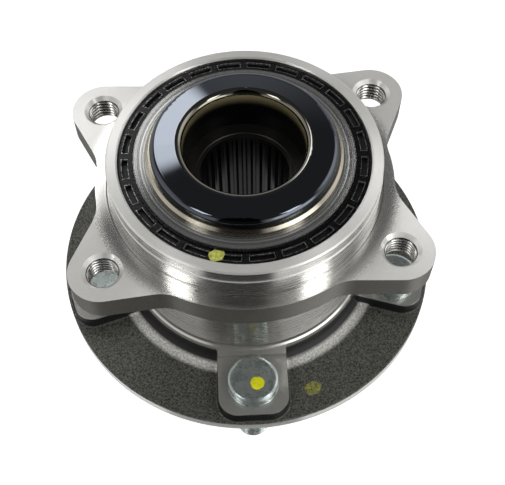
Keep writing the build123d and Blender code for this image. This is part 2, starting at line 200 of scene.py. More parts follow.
def ring_of_points(radius_at, height, columns):
    angles = [2 * pi * c / columns for c in range(columns)]
    return [(radius_at(a) * cos(a), radius_at(a) * sin(a), height) for a in angles]


def skin_rows(name, rows, closed=False, sharp=28.0):
    """A mesh from closed rows of points, each joined to the next, with its two ends filled or joined."""
    columns = len(rows[0])
    points = [p for row in rows for p in row]
    count = len(rows)
    faces = []
    for r in range(count if closed else count - 1):
        below = r * columns
        above = (r + 1) % count * columns
        for c in range(columns):
            d = (c + 1) % columns
            faces.append((below + c, below + d, above + d, above + c))
    if not closed:
        faces.append(tuple(reversed(range(columns))))
        faces.append(tuple(range((count - 1) * columns, count * columns)))
    mesh = bpy.data.meshes.new(name)
    mesh.from_pydata(points, [], faces)
    mesh.shade_smooth()
    mesh.set_sharp_from_angle(angle=radians(sharp))
    piece = bpy.data.objects.new(name, mesh)
    bpy.context.scene.collection.objects.link(piece)
    return piece


def make_tapped_steel():
    """Freshly tapped steel: bright crests and flanks, dark roots, and a fine grain."""
    material, tree = start_material("tapped_bearing_steel")
    place, radius = read_place(tree)[:2]
    root = add_node(tree, "MapRange", {0: radius, 1: core_radius - steel_flank_reach,
                                       2: core_radius - dark_root_reach})[0]
    grain = add_node(tree, "TexNoise", {"Vector": place, "Scale": 1 / ground_grain, "Detail": 2.0})["Fac"]
    steel = add_node(tree, "Mix", {0: grain, 6: linear("#c9c8c4"), 7: linear("#efeeea")},
                     data_type="RGBA")[2]
    colour = add_node(tree, "Mix", {0: root, 6: steel, 7: linear("#2b2b2a")}, data_type="RGBA")[2]
    gloss = add_node(tree, "MapRange", {0: grain, 1: 0.3, 2: 0.7, 3: 0.18, 4: 0.30})[0]
    finish_material(tree, Base_Color=colour, Roughness=gloss, Metallic=0.9)
    return material


def make_lug_thread(name):
    """The tapped wall of one lug: a sleeve whose inside is the thread, closed behind in the forging."""
    low = plate_bottom + thread_start
    high = plate_top - countersink
    step = thread_pitch / thread_rows
    fade_rows = 3
    levels = [low + step * i for i in range(int((high - low) / step) + 1)]
    rows = [ring_of_points(lambda a: core_radius + sleeve_back, level, thread_columns)
            for level in (levels[-1], levels[0])]
    for level in levels:
        fade = min(1.0, (level - low) / step / fade_rows, (high - level) / step / fade_rows)
        rows.append(ring_of_points(
            lambda a: (core_radius - root_inset
                       - fade * thread_depth * ridge(level / thread_pitch - a / (2 * pi))),
            level, thread_columns))
    return skin_rows(name, rows, closed=True)


tapped_steel = make_tapped_steel()
lug_places = [(sx * lug_x, sy * lug_y) for sx in (-1, 1) for sy in (-1, 1)]
for number, (x, y) in enumerate(lug_places, 1):
    thread = make_lug_thread(f"lug_thread_{number}")
    thread.location = (x, y, 0)
    thread.data.materials.append(tapped_steel)
    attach(thread, "outer_ring")

# Seals
# Pressed sheet steel cases with nitrile rubber bonded on, pushed into both ends of the outer ring.
# The sheet is phosphated black before the rubber is moulded to it.
crystal_size = 0.25 * mm         # real crystals are 0.01 mm, drawn coarser to show
greasy_patch_size = 3.0 * mm
rubber_pore_size = 0.3 * mm      # real pores are 0.05 mm, drawn coarser to show


def make_phosphated_sheet():
    """Phosphated sheet: black and satin, with a fine crystalline grain."""
    material, tree = start_material("phosphated_sheet_steel")
    place = read_place(tree)[0]
    crystals = add_node(tree, "TexNoise", {"Vector": place, "Scale": 1 / crystal_size, "Detail": 3.0})["Fac"]
    colour = add_node(tree, "Mix", {0: crystals, 6: linear("#0c0c0d"), 7: linear("#1b1b1c")},
                      data_type="RGBA")[2]
    gloss = add_node(tree, "MapRange", {0: crystals, 1: 0.3, 2: 0.7, 3: 0.35, 4: 0.50})[0]
    bumps = add_node(tree, "Bump", {"Height": crystals, "Strength": 0.2, "Distance": 0.01 * mm})["Normal"]
    finish_material(tree, Base_Color=colour, Roughness=gloss, Normal=bumps, Metallic=0.4)
    return material


def make_nitrile():
    """Moulded nitrile rubber: near black, with a soft dull sheen and a greasy film in patches."""
    material, tree = start_material("moulded_nitrile_rubber")
    place = read_place(tree)[0]
    patches = add_node(tree, "TexNoise", {"Vector": place, "Scale": 1 / greasy_patch_size,
                                          "Detail": 2.0})["Fac"]
    pores = add_node(tree, "TexNoise", {"Vector": place, "Scale": 1 / rubber_pore_size, "Detail": 2.0})["Fac"]
    colour = add_node(tree, "Mix", {0: patches, 6: linear("#111112"), 7: linear("#1e1e20")},
                      data_type="RGBA")[2]
    gloss = add_node(tree, "MapRange", {0: patches, 1: 0.3, 2: 0.7, 3: 0.38, 4: 0.62})[0]
    bumps = add_node(tree, "Bump", {"Height": pores, "Strength": 0.2, "Distance": 0.02 * mm})["Normal"]
    finish_material(tree, Base_Color=colour, Roughness=gloss, Normal=bumps, Metallic=0.0)
    return material


dress(make_phosphated_sheet(), "inboard_seal_case", "outboard_seal_case")
dress(make_nitrile(), "inboard_seal_lip", "outboard_seal_lip")

# Ball rows
# Two rows of through-hardened, lapped chrome steel balls, each snapped into a moulded cage.
ball_count = 13
scratch_size = 0.15 * mm         # real scratches are 0.01 mm wide, drawn coarser to show
fibre_size = 0.4 * mm            # real fibres are 0.2 to 0.3 mm long, drawn coarser to show


def make_lapped_steel():
    """Lapped chrome steel: a mirror, with hair-fine random scratches."""
    material, tree = start_material("lapped_chrome_steel")
    place = read_place(tree)[0]
    scratches = add_node(tree, "TexNoise", {"Vector": place, "Scale": 1 / scratch_size, "Detail": 4.0})["Fac"]
    colour = add_node(tree, "Mix", {0: scratches, 6: linear("#d6d7d8"), 7: linear("#ececec")},
                      data_type="RGBA")[2]
    gloss = add_node(tree, "MapRange", {0: scratches, 1: 0.3, 2: 0.7, 3: 0.04, 4: 0.10})[0]
    bumps = add_node(tree, "Bump", {"Height": scratches, "Strength": 0.05, "Distance": 0.005 * mm})["Normal"]
    finish_material(tree, Base_Color=colour, Roughness=gloss, Normal=bumps, Metallic=1.0)
    return material


def make_cage_polyamide():
    """Glass-filled polyamide 66: ivory turned tan by the heat, with a matt moulded skin."""
    material, tree = start_material("glass_filled_polyamide")
    place = read_place(tree)[0]
    fibres = add_node(tree, "TexNoise", {"Vector": place, "Scale": 1 / fibre_size, "Detail": 5.0})["Fac"]
    colour = add_node(tree, "Mix", {0: fibres, 6: linear("#b7a77c"), 7: linear("#d2c49c")},
                      data_type="RGBA")[2]
    gloss = add_node(tree, "MapRange", {0: fibres, 1: 0.3, 2: 0.7, 3: 0.45, 4: 0.60})[0]
    bumps = add_node(tree, "Bump", {"Height": fibres, "Strength": 0.25, "Distance": 0.02 * mm})["Normal"]
    finish_material(tree, Base_Color=colour, Roughness=gloss, Normal=bumps, Metallic=0.0)
    return material


lapped_steel = make_lapped_steel()
for row in ("inboard", "outboard"):
    dress(lapped_steel, *[f"{row}_ball_{number}" for number in range(1, ball_count + 1)])
dress(make_cage_polyamide(), "inboard_cage", "outboard_cage")

# Inner ring
# Bearing steel, ground all over, pressed on the hub's stem and held by the lip formed over it.
grinding_pitch = 0.25 * mm       # real lines are 0.02 mm apart, drawn coarser to show


def make_ground_steel():
    """Ground bearing steel: bright, faintly warm, its gloss drawn out across close grinding lines."""
    material, tree = start_material("ground_bearing_steel")
    radius, height = read_place(tree)[1:]
    rings = turning_marks(tree, radius, height, grinding_pitch)
    colour = add_node(tree, "Mix", {0: rings, 6: linear("#8f8878"), 7: linear("#ccc6b7")},
                      data_type="RGBA")[2]
    gloss = add_node(tree, "MapRange", {0: rings, 1: 0.3, 2: 0.7, 3: 0.14, 4: 0.24})[0]
    marks = add_node(tree, "Bump", {"Height": rings, "Strength": 0.2, "Distance": tool_mark_depth})["Normal"]
    round_axis = add_node(tree, "Tangent", direction_type="RADIAL", axis="Z")["Tangent"]
    finish_material(tree, Base_Color=colour, Roughness=gloss, Normal=marks, Tangent=round_axis, Metallic=1.0,
                    Anisotropic=lathe_anisotropy, Anisotropic_Rotation=across_the_grooves)
    return material


dress(make_ground_steel(), "inner_ring")

# Hub
# One forging: flange with stud pads, neck, splined stem. The web keeps its shot-blasted skin, the
# seats and neck ring are turned, and the stem's end is rolled out over the inner ring as a lip.
web_top = 4.4 * mm
seat_height = 9.5 * mm
flange_radius = 69.0 * mm
neck_radius = 44.2 * mm
cove_foot_radius = 49.0 * mm
inner_ring_face = 69.4 * mm
counterbore_radius = 20.0 * mm
counterbore_floor = 57.2 * mm
lip_crest_radius = 22.2 * mm
nut_seat_height = 2.05 * mm
near_face = 0.03 * mm            # what is nearer to a turned face belongs to it
skin_reach = 0.36 * mm           # the skin runs on this far below the web and above the seats
pad_edge = 0.35 * mm             # the seats' turned edges reach down this far
bore_edge = 0.02 * mm
lip_edge = 0.05 * mm             # the lip begins this far below the inner ring's face
ledge_width = 0.3 * mm
cove_reach = 1.0 * mm            # outside the neck, where the cove's skin ends
# These place a painted highlight on the web round the cove's foot, and painted shade up the walls of cove and
# pads.
cove_highlight_width = 0.9 * mm         # to either side of the cove's foot
cove_highlight_end = 2.3 * mm
cove_highlight_rise = 1.1 * mm
wall_foot = 0.05 * mm            # over the web, where the walls of cove and pads start to darken
wall_dark = 0.4 * mm             # and where they are dark
straw_outside = 0.3 * mm         # outside the lip's crest, where the straw tint starts
straw_inside = 0.6 * mm          # outside the counterbore, where it is full
bore_shade_end = 2.0 * mm               # below the inner ring's face, where the bore is painted black as shade
bore_glint_start = 3.0 * mm           # above it, where its painted straw highlight is full
shot_depth = 0.16 * mm
shot_size = 0.65 * mm            # real dimples are 0.3 mm, drawn coarser to show


def make_hub_steel():
    """Carbon steel forging: dark blasted skin, a painted highlight on the web round the cove's foot,
    painted shade up the walls of cove and pads, turned seats and rim, a black mirror lip tempered
    straw at its mouth, and a bore painted with a straw highlight under its mouth and black shade below."""
    material, tree = start_material("hub_carbon_steel_forging")
    place, radius, height = read_place(tree)
    dimples = add_node(tree, "TexNoise", {"Vector": place, "Scale": 1 / shot_size, "Detail": 5.0,
                                          "Roughness": 0.7})["Fac"]
    rings = turning_marks(tree, radius, height, turning_pitch)
    ground = add_node(tree, "TexNoise", {"Vector": place, "Scale": 1 / ground_grain, "Detail": 2.0})["Fac"]
    off_rim = add_node(tree, "Math", {0: radius, 1: (neck_radius + flange_radius) / 2,
                                      2: (flange_radius - neck_radius) / 2 - near_face},
                       operation="COMPARE")["Value"]
    under_seat = add_node(tree, "Math", {0: height, 1: (seat_height + web_top) / 2,
                                         2: (seat_height - web_top) / 2 + skin_reach},
                          operation="COMPARE")["Value"]
    low_wall = add_node(tree, "Math", {0: height, 1: seat_height - pad_edge}, operation="LESS_THAN")["Value"]
    in_cove = add_node(tree, "Math", {0: radius, 1: neck_radius + cove_reach}, operation="LESS_THAN")["Value"]
    low_wall = add_node(tree, "Math", {0: low_wall, 1: in_cove}, operation="MAXIMUM")["Value"]
    under_seat = add_node(tree, "Math", {0: under_seat, 1: low_wall}, operation="MULTIPLY")["Value"]
    on_seat = add_node(tree, "Math", {0: height, 1: seat_height, 2: near_face}, operation="COMPARE")["Value"]
    blank = add_node(tree, "Math", {0: off_rim, 1: under_seat}, operation="MULTIPLY")["Value"]
    off_seat = add_node(tree, "Math", {0: 1.0, 1: on_seat}, operation="SUBTRACT")["Value"]
    skin = add_node(tree, "Math", {0: blank, 1: off_seat}, operation="MULTIPLY")["Value"]
    over_face = add_node(tree, "Math", {0: height, 1: inner_ring_face - lip_edge},
                         operation="GREATER_THAN")["Value"]
    off_bore = add_node(tree, "Math", {0: radius, 1: counterbore_radius + bore_edge},
                        operation="GREATER_THAN")["Value"]
    lip = add_node(tree, "Math", {0: over_face, 1: off_bore}, operation="MULTIPLY")["Value"]
    in_bore = add_node(tree, "Math", {0: radius, 1: counterbore_radius + bore_edge},
                       operation="LESS_THAN")["Value"]
    over_nut = add_node(tree, "Math", {0: height, 1: nut_seat_height}, operation="GREATER_THAN")["Value"]
    bore = add_node(tree, "Math", {0: in_bore, 1: over_nut}, operation="MULTIPLY")["Value"]
    at_floor = add_node(tree, "Math", {0: height, 1: counterbore_floor, 2: ledge_width},
                        operation="COMPARE")["Value"]
    ledge = add_node(tree, "Math", {0: in_bore, 1: at_floor}, operation="MULTIPLY")["Value"]

    turned = add_node(tree, "Mix", {0: ground, 6: linear("#bdbcb7"), 7: linear("#dad9d4")},
                      data_type="RGBA")[2]
    blasted = add_node(tree, "Mix", {0: add_node(tree, "MapRange", {0: dimples, 1: 0.38, 2: 0.62})[0],
                                     6: linear("#1f201e"), 7: linear("#74746b")}, data_type="RGBA")[2]
    # Painted highlight: a bright speckled band on the web to either side of the cove's foot, where the cove's
    # fillet catches the light.
    cove_highlight = add_node(tree, "Math", {0: radius, 1: cove_foot_radius}, operation="SUBTRACT")["Value"]
    cove_highlight = add_node(tree, "Math", {0: cove_highlight}, operation="ABSOLUTE")["Value"]
    cove_highlight = add_node(tree, "MapRange", {0: cove_highlight, 1: cove_highlight_width, 2: cove_highlight_end, 3: 1.0, 4: 0.0})[0]
    on_web = add_node(tree, "Math", {0: height, 1: web_top + cove_highlight_rise}, operation="LESS_THAN")["Value"]
    cove_highlight = add_node(tree, "Math", {0: cove_highlight, 1: on_web}, operation="MULTIPLY")["Value"]
    speckle = add_node(tree, "MapRange", {0: dimples, 1: 0.40, 2: 0.60, 3: 0.5, 4: 1.0})[0]
    cove_highlight = add_node(tree, "Math", {0: cove_highlight, 1: speckle}, operation="MULTIPLY")["Value"]
    # Painted shade: the walls of cove and pads darken to near black as they rise from the web.
    wall = add_node(tree, "MapRange", {0: height, 1: web_top + wall_foot, 2: web_top + wall_dark})[0]
    blasted = add_node(tree, "Mix", {0: wall, 6: blasted, 7: linear("#1d1d1c")}, data_type="RGBA")[2]
    blasted = add_node(tree, "Mix", {0: cove_highlight, 6: blasted, 7: linear("#f6f5ef")}, data_type="RGBA")[2]
    straw = add_node(tree, "MapRange", {0: radius, 1: lip_crest_radius + straw_outside,
                                        2: counterbore_radius + straw_inside})[0]
    rolled = add_node(tree, "Mix", {0: straw, 6: linear("#52565c"), 7: linear("#7d7a70")},
                      data_type="RGBA")[2]
    # Painted light in the bore: a straw highlight under its mouth, fading to black painted shade further
    # down.
    bore_glint_ramp = add_node(tree, "MapRange", {0: height, 1: inner_ring_face - bore_shade_end,
                                        2: inner_ring_face + bore_glint_start},
                     interpolation_type="SMOOTHSTEP")[0]
    bore_shade_and_glint = add_node(tree, "Mix", {0: bore_glint_ramp, 6: linear("#141414"), 7: linear("#cfc193")}, data_type="RGBA")[2]
    colour = add_node(tree, "Mix", {0: skin, 6: turned, 7: blasted}, data_type="RGBA")[2]
    colour = add_node(tree, "Mix", {0: lip, 6: colour, 7: rolled}, data_type="RGBA")[2]
    colour = add_node(tree, "Mix", {0: bore, 6: colour, 7: bore_shade_and_glint}, data_type="RGBA")[2]
    # Painted shade: the counterbore's floor is coloured dark for the shade deep in the bore.
    colour = add_node(tree, "Mix", {0: ledge, 6: colour, 7: linear("#3c3b39")}, data_type="RGBA")[2]

    roughness = add_node(tree, "MapRange", {0: ground, 1: 0.3, 2: 0.7, 3: 0.15, 4: 0.22})[0]
    dull = add_node(tree, "MapRange", {0: dimples, 1: 0.3, 2: 0.7, 3: 0.58, 4: 0.42})[0]
    roughness = add_node(tree, "Mix", {0: skin, 2: roughness, 3: dull}, data_type="FLOAT")[0]
    roughness = add_node(tree, "Mix", {0: lip, 2: roughness, 3: 0.06}, data_type="FLOAT")[0]
    bored = add_node(tree, "MapRange", {0: bore_glint_ramp, 3: 0.22, 4: 0.42})[0]
    roughness = add_node(tree, "Mix", {0: bore, 2: roughness, 3: bored}, data_type="FLOAT")[0]
    roughness = add_node(tree, "Mix", {0: ledge, 2: roughness, 3: 0.40}, data_type="FLOAT")[0]
    pits = add_node(tree, "Math", {0: dimples, 1: skin}, operation="MULTIPLY")["Value"]
    off_lip = add_node(tree, "Math", {0: 1.0, 1: lip}, operation="SUBTRACT")["Value"]
    tool_marks = add_node(tree, "Math", {0: rings, 1: off_lip}, operation="MULTIPLY")["Value"]
    normal = add_node(tree, "Bump", {"Height": pits, "Strength": 0.8, "Distance": shot_depth})["Normal"]
    normal = add_node(tree, "Bump", {"Height": tool_marks, "Strength": 0.12, "Distance": tool_mark_depth,
                                     "Normal": normal})["Normal"]
    metal = add_node(tree, "Mix", {0: skin, 2: 0.70, 3: 0.35}, data_type="FLOAT")[0]
    metal = add_node(tree, "Mix", {0: lip, 2: metal, 3: 1.0}, data_type="FLOAT")[0]
    metal = add_node(tree, "Mix", {0: ledge, 2: metal, 3: 0.90}, data_type="FLOAT")[0]
    finish_material(tree, Base_Color=colour, Roughness=roughness, Normal=normal, Metallic=metal)
    return material


dress(make_hub_steel(), "hub")

# Slinger and tone ring
# Stainless slinger pressed on the inner ring, and under its flange a black-coated steel ring whose
# windows are counted by the speed sensor. The windows are sheared, so their edges are bare.
window_count = 24
first_window_angle = radians(3.7)
window_half_angle = radians(5.7)
window_inner_radius = 38.0 * mm
window_outer_radius = 40.05 * mm
bare_edge = 0.10 * mm
drawing_pitch = 0.5 * mm         # real lines are 0.05 mm apart, drawn coarser to show
coat_ripple = 0.8 * mm


def make_stainless():
    """Pressed stainless sheet: bright, a little blue, with drawn circular lines."""
    material, tree = start_material("pressed_stainless_sheet")
    radius, height = read_place(tree)[1:]
    rings = turning_marks(tree, radius, height, drawing_pitch)
    rings = add_node(tree, "MapRange", {0: rings, 1: 0.35, 2: 0.65})[0]
    colour = add_node(tree, "Mix", {0: rings, 6: linear("#75736f"), 7: linear("#c3c5c5")},
                      data_type="RGBA")[2]
    gloss = add_node(tree, "MapRange", {0: rings, 1: 0.3, 2: 0.7, 3: 0.16, 4: 0.26})[0]
    marks = add_node(tree, "Bump", {"Height": rings, "Strength": 0.2, "Distance": tool_mark_depth})["Normal"]
    round_axis = add_node(tree, "Tangent", direction_type="RADIAL", axis="Z")["Tangent"]
    finish_material(tree, Base_Color=colour, Roughness=gloss, Normal=marks, Tangent=round_axis, Metallic=0.8,
                    Anisotropic=lathe_anisotropy, Anisotropic_Rotation=across_the_grooves)
    return material


def make_black_coat():
    """Black electrophoretic coat on sheet steel: deep black, half glossy, worn off the sheared edges
    of the windows."""
    material, tree = start_material("black_electrocoated_sheet_steel")
    place, radius = read_place(tree)[:2]
    axes = add_node(tree, "SeparateXYZ", {0: place})
    angle = add_node(tree, "Math", {0: axes["Y"], 1: axes["X"]}, operation="ARCTAN2")["Value"]
    angle = add_node(tree, "Math", {0: angle, 1: 2 * pi + pi / window_count - first_window_angle},
                     operation="ADD")["Value"]
    angle = add_node(tree, "Math", {0: angle, 1: 2 * pi / window_count}, operation="MODULO")["Value"]
    angle = add_node(tree, "Math", {0: angle, 1: pi / window_count}, operation="SUBTRACT")["Value"]
    angle = add_node(tree, "Math", {0: angle}, operation="ABSOLUTE")["Value"]
    along = add_node(tree, "Math", {0: angle, 1: window_half_angle}, operation="SUBTRACT")["Value"]
    along = add_node(tree, "Math", {0: along, 1: radius}, operation="MULTIPLY")["Value"]
    across = add_node(tree, "Math", {0: radius, 1: (window_inner_radius + window_outer_radius) / 2},
                      operation="SUBTRACT")["Value"]
    across = add_node(tree, "Math", {0: across}, operation="ABSOLUTE")["Value"]
    across = add_node(tree, "Math", {0: across, 1: (window_outer_radius - window_inner_radius) / 2},
                      operation="SUBTRACT")["Value"]
    from_edge = add_node(tree, "Math", {0: along, 1: across}, operation="MAXIMUM")["Value"]
    bare = add_node(tree, "Math", {0: from_edge, 1: 0.0, 2: bare_edge}, operation="COMPARE")["Value"]
    peel = add_node(tree, "TexNoise", {"Vector": place, "Scale": 1 / coat_ripple, "Detail": 2.0})["Fac"]
    worn = add_node(tree, "MapRange", {0: peel, 1: 0.40, 2: 0.58, 3: 0.15, 4: 1.0})[0]
    bare = add_node(tree, "Math", {0: bare, 1: worn}, operation="MULTIPLY")["Value"]
    colour = add_node(tree, "Mix", {0: bare, 6: linear("#060607"), 7: linear("#c6c7c8")}, data_type="RGBA")[2]
    coat = add_node(tree, "MapRange", {0: peel, 1: 0.3, 2: 0.7, 3: 0.20, 4: 0.32})[0]
    gloss = add_node(tree, "Mix", {0: bare, 2: coat, 3: 0.30}, data_type="FLOAT")[0]
    bumps = add_node(tree, "Bump", {"Height": peel, "Strength": 0.2, "Distance": 0.02 * mm})["Normal"]
    finish_material(tree, Base_Color=colour, Roughness=gloss, Normal=bumps, Metallic=bare,
                    Specular_IOR_Level=0.3)
    return material


dress(make_stainless(), "slinger")
dress(make_black_coat(), "tone_ring")

# Wheel studs
# Cold-headed M12 x 1.5 studs, rolled thread, zinc plated, pressed into the pads by their serrations.
stud_count = 5
stud_circle_radius = 56.0 * mm
first_stud_angle = radians(-91.9)
stud_reach = 30.0 * mm
stud_crest_radius = 6.0 * mm
stud_thread_depth = 0.75 * mm
stud_tip_taper = 3.0 * mm
stud_knurl_radius = 6.45 * mm
stud_collar_radius = 8.9 * mm
stud_collar_top = 10.3 * mm
stud_head_radius = 8.7 * mm
stud_head_top = 13.95 * mm
stud_face_radius = 7.6 * mm
stud_edge_round = 0.2 * mm
stud_columns = 72
serrations = 36
serration_depth = 0.24 * mm
zinc_ripple = 2.5 * mm


def make_zinc_plate():
    """Bright zinc plate, clear passivated: silver with a blue-green cast and a softly uneven skin."""
    material, tree = start_material("bright_zinc_plated_steel")
    place, radius, height = read_place(tree)
    waves = add_node(tree, "TexNoise", {"Vector": place, "Scale": 1 / zinc_ripple, "Detail": 3.0})["Fac"]
    rings = turning_marks(tree, radius, height, drawing_pitch)
    colour = add_node(tree, "Mix", {0: waves, 6: linear("#939d9b"), 7: linear("#c9d1ce")},
                      data_type="RGBA")[2]
    gloss = add_node(tree, "MapRange", {0: waves, 1: 0.3, 2: 0.7, 3: 0.22, 4: 0.34})[0]
    normal = add_node(tree, "Bump", {"Height": waves, "Strength": 0.35, "Distance": 0.06 * mm})["Normal"]
    normal = add_node(tree, "Bump", {"Height": rings, "Strength": 0.25, "Distance": 0.01 * mm,
                                     "Normal": normal})["Normal"]
    finish_material(tree, Base_Color=colour, Roughness=gloss, Normal=normal, Metallic=0.75)
    return material


def make_stud(name):
    """Tip, thread, serrated shank, collar and bevelled head of one stud, standing on its own axis."""
    def plain(radius, height):
        return ring_of_points(lambda a: radius, height, stud_columns)

    rows = [plain(stud_crest_radius - stud_tip_taper / 2, -stud_reach)]
    step = thread_pitch / thread_rows
    low = -stud_reach + 0.4 * mm
    for i in range(int(-low / step)):
        level = low + step * i
        taper = max(0.0, stud_tip_taper - (level + stud_reach)) / 2
        fade = min(1.0, -level / step / thread_rows)
        crest = stud_crest_radius - taper
        root = min(crest, stud_crest_radius - stud_thread_depth * fade)
        rows.append(ring_of_points(
            lambda a: root + (crest - root) * ridge(level / thread_pitch - a / (2 * pi)),
            level, stud_columns))
    for height in (0.5 * mm, seat_height):
        rows.append(ring_of_points(
            lambda a: stud_knurl_radius - serration_depth / 2 * (1 - cos(serrations * a)),
            height, stud_columns))
    bevel_drop = 0.4 * mm
    outline = [(stud_collar_radius - 0.15 * mm, seat_height),
               (stud_collar_radius, seat_height + 0.15 * mm),
               (stud_collar_radius, stud_collar_top - stud_edge_round),
               (stud_collar_radius - 0.06 * mm, stud_collar_top - 0.06 * mm),
               (stud_collar_radius - stud_edge_round, stud_collar_top),
               (stud_head_radius, stud_collar_top + 0.02 * mm),
               (stud_head_radius, stud_head_top - bevel_drop - 0.5 * mm),
               (stud_head_radius - 0.1 * mm, stud_head_top - bevel_drop - 0.2 * mm),
               (stud_head_radius - 0.35 * mm, stud_head_top - bevel_drop),
               (stud_face_radius + 0.35 * mm, stud_head_top - 0.12 * mm),
               (stud_face_radius, stud_head_top),
               (stud_face_radius - 0.25 * mm, stud_head_top),
               (stud_face_radius - 0.5 * mm, stud_head_top - 0.05 * mm)]
    rows += [plain(r, h) for r, h in outline]
    rows += [plain(stud_face_radius * share, stud_head_top - dip * mm)
             for share, dip in ((0.8, 0.06), (0.6, 0.08), (0.4, 0.11), (0.2, 0.12))]
    return skin_rows(name, rows)


zinc_plate = make_zinc_plate()
stud_angles = [first_stud_angle + 2 * pi * i / stud_count for i in range(stud_count)]
for number, angle in enumerate(stud_angles, 1):
    stud = make_stud(f"threaded_stud_{number}")
    stud.location = (stud_circle_radius * cos(angle), stud_circle_radius * sin(angle), 0)
    stud.data.materials.append(zinc_plate)
    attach(stud, "hub")
    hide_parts(f"wheel_stud_{number}")

# Inspection marks
# Dabs of yellow marking paint put on by hand at the end of the line: one on a stud head, one on the
# tone ring and a thin wiped one on the flange web.
brush_patch_size = 0.9 * mm
paint_thickness = 0.16 * mm


def make_marking_paint(name, thick, thin):
    """Marking paint: bright and half glossy where it stands thick, duller where it is wiped."""
    material, tree = start_material(name)
    place = read_place(tree)[0]
    patches = add_node(tree, "TexNoise", {"Vector": place, "Scale": 1 / brush_patch_size,
                                          "Detail": 4.0})["Fac"]
    wiped = add_node(tree, "MapRange", {0: patches, 1: 0.35, 2: 0.65})[0]
    colour = add_node(tree, "Mix", {0: wiped, 6: linear(thick), 7: linear(thin)}, data_type="RGBA")[2]
    gloss = add_node(tree, "MapRange", {0: patches, 1: 0.3, 2: 0.7, 3: 0.35, 4: 0.6})[0]
    bumps = add_node(tree, "Bump", {"Height": patches, "Strength": 0.4, "Distance": 0.06 * mm})["Normal"]
    finish_material(tree, Base_Color=colour, Roughness=gloss, Normal=bumps, Metallic=0.0)
    return material


def make_dab(name, centre, size, wobble, lobes):
    """A flat drop of paint: domed, with an uneven outline."""
    columns = 48
    x0, y0, floor = centre

    def row(share, height):
        points = []
        for c in range(columns):
            a = 2 * pi * c / columns
            uneven = wobble * sin(lobes * a + 1.0) + wobble / 2 * sin((2 * lobes + 1) * a)
            reach = size * share * (1 + uneven)
            points.append((x0 + reach * cos(a), y0 + reach * sin(a), height))
        return points

    dome = [(1.0, -0.02 * mm), (1.0, 0.02 * mm), (0.96, 0.6 * paint_thickness),
            (0.88, 0.85 * paint_thickness), (0.7, paint_thickness), (0.35, 0.92 * paint_thickness),
            (0.1, 0.9 * paint_thickness)]
    return skin_rows(name, [row(share, floor + h) for share, h in dome], sharp=60)


fresh_paint = make_marking_paint("yellow_marking_paint", "#fbfa10", "#e8e410")
pale_paint = make_marking_paint("thin_yellow_marking_paint", "#d9de6c", "#a3a84a")
faded_paint = make_marking_paint("wiped_yellow_marking_paint", "#a5a44c", "#5f5e3a")
dabs = (
    ("paint_on_stud", fresh_paint, (-0.5 * mm, -57.8 * mm, stud_head_top - 0.12 * mm), 2.4 * mm, 0.03, 3),
    ("paint_on_tone_ring", pale_paint, (-11.3 * mm, -37.1 * mm, 66.1 * mm), 2.3 * mm, 0.10, 2),
    ("paint_on_web", faded_paint, (19.1 * mm, -57.3 * mm, web_top), 2.7 * mm, 0.12, 2),
)
for name, paint, centre, size, wobble, lobes in dabs:
    dab = make_dab(name, centre, size, wobble, lobes)
    dab.data.materials.append(paint)
    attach(dab, "hub")

# Stage
# A white light tent on a sweep: its walls are bright low down and dark at the top, it is open at
# the front where the camera looks in, and soft lamps glow through its back and sides.
floor_half = 1.2
floor_level = -stud_reach - 0.05 * mm
opening_azimuth = radians(-99)
opening_start = cos(radians(26))
opening_end = cos(radians(20))
opening_light = 0.04
floor_light = 0.72               # what the lit sweep adds where it is looked at
floor_in_metal = 0.88
bright_floor_radius = 76 * mm    # beside the part the sweep is bright in the opening too
bright_floor_end = 84 * mm


def see_opening(tree, direction):
    """1 for the tent's walls, and next to nothing in its open front, for a direction or a place on
    the floor."""
    flat = add_node(tree, "VectorMath", {0: direction, 1: (1, 1, 0)}, operation="MULTIPLY")["Vector"]
    flat = add_node(tree, "VectorMath", {0: flat}, operation="NORMALIZE")["Vector"]
    ahead = add_node(tree, "VectorMath", {0: flat, 1: (cos(opening_azimuth), sin(opening_azimuth), 0)},
                     operation="DOT_PRODUCT")["Value"]
    return add_node(tree, "MapRange", {0: ahead, 1: opening_start, 2: opening_end,
                                       3: 1.0, 4: opening_light})[0]


def make_sweep():
    """Pale painted sweep, lit up to white where the camera, metal or glass sees it."""
    material, tree = start_material("white_painted_sweep")
    path = add_node(tree, "LightPath")
    place, radius = read_place(tree)[:2]
    walls = see_opening(tree, place)
    beside = add_node(tree, "MapRange", {0: radius, 1: bright_floor_radius, 2: bright_floor_end,
                                         3: 1.0, 4: 0.0})[0]
    mirrored = add_node(tree, "Math", {0: walls, 1: beside}, operation="MAXIMUM")["Value"]
    seen = add_node(tree, "Math", {0: path["Is Camera Ray"], 1: path["Is Transmission Ray"]},
                    operation="MAXIMUM")["Value"]
    strength = add_node(tree, "Math", {0: seen, 1: floor_light}, operation="MULTIPLY")["Value"]
    glow = add_node(tree, "Emission", {"Color": (1, 1, 1, 1), "Strength": strength})["Emission"]
    paint = add_node(tree, "BsdfDiffuse", {"Color": linear("#f2f2f2")})["BSDF"]
    lit = add_node(tree, "AddShader", {0: glow, 1: paint})["Shader"]
    mirrored = add_node(tree, "Emission", {"Color": (floor_in_metal, floor_in_metal, floor_in_metal, 1),
                                           "Strength": mirrored})["Emission"]
    both = add_node(tree, "MixShader", {0: path["Is Glossy Ray"], 1: lit, 2: mirrored})["Shader"]
    add_node(tree, "OutputMaterial", {"Surface": both})
    return material


floor_mesh = bpy.data.meshes.new("sweep")
floor_mesh.from_pydata([(-floor_half, -floor_half, floor_level), (floor_half, -floor_half, floor_level),
                        (floor_half, floor_half, floor_level), (-floor_half, floor_half, floor_level)],
                       [], [(0, 1, 2, 3)])
sweep = bpy.data.objects.new("sweep", floor_mesh)
sweep.data.materials.append(make_sweep())
bpy.context.scene.collection.objects.link(sweep)


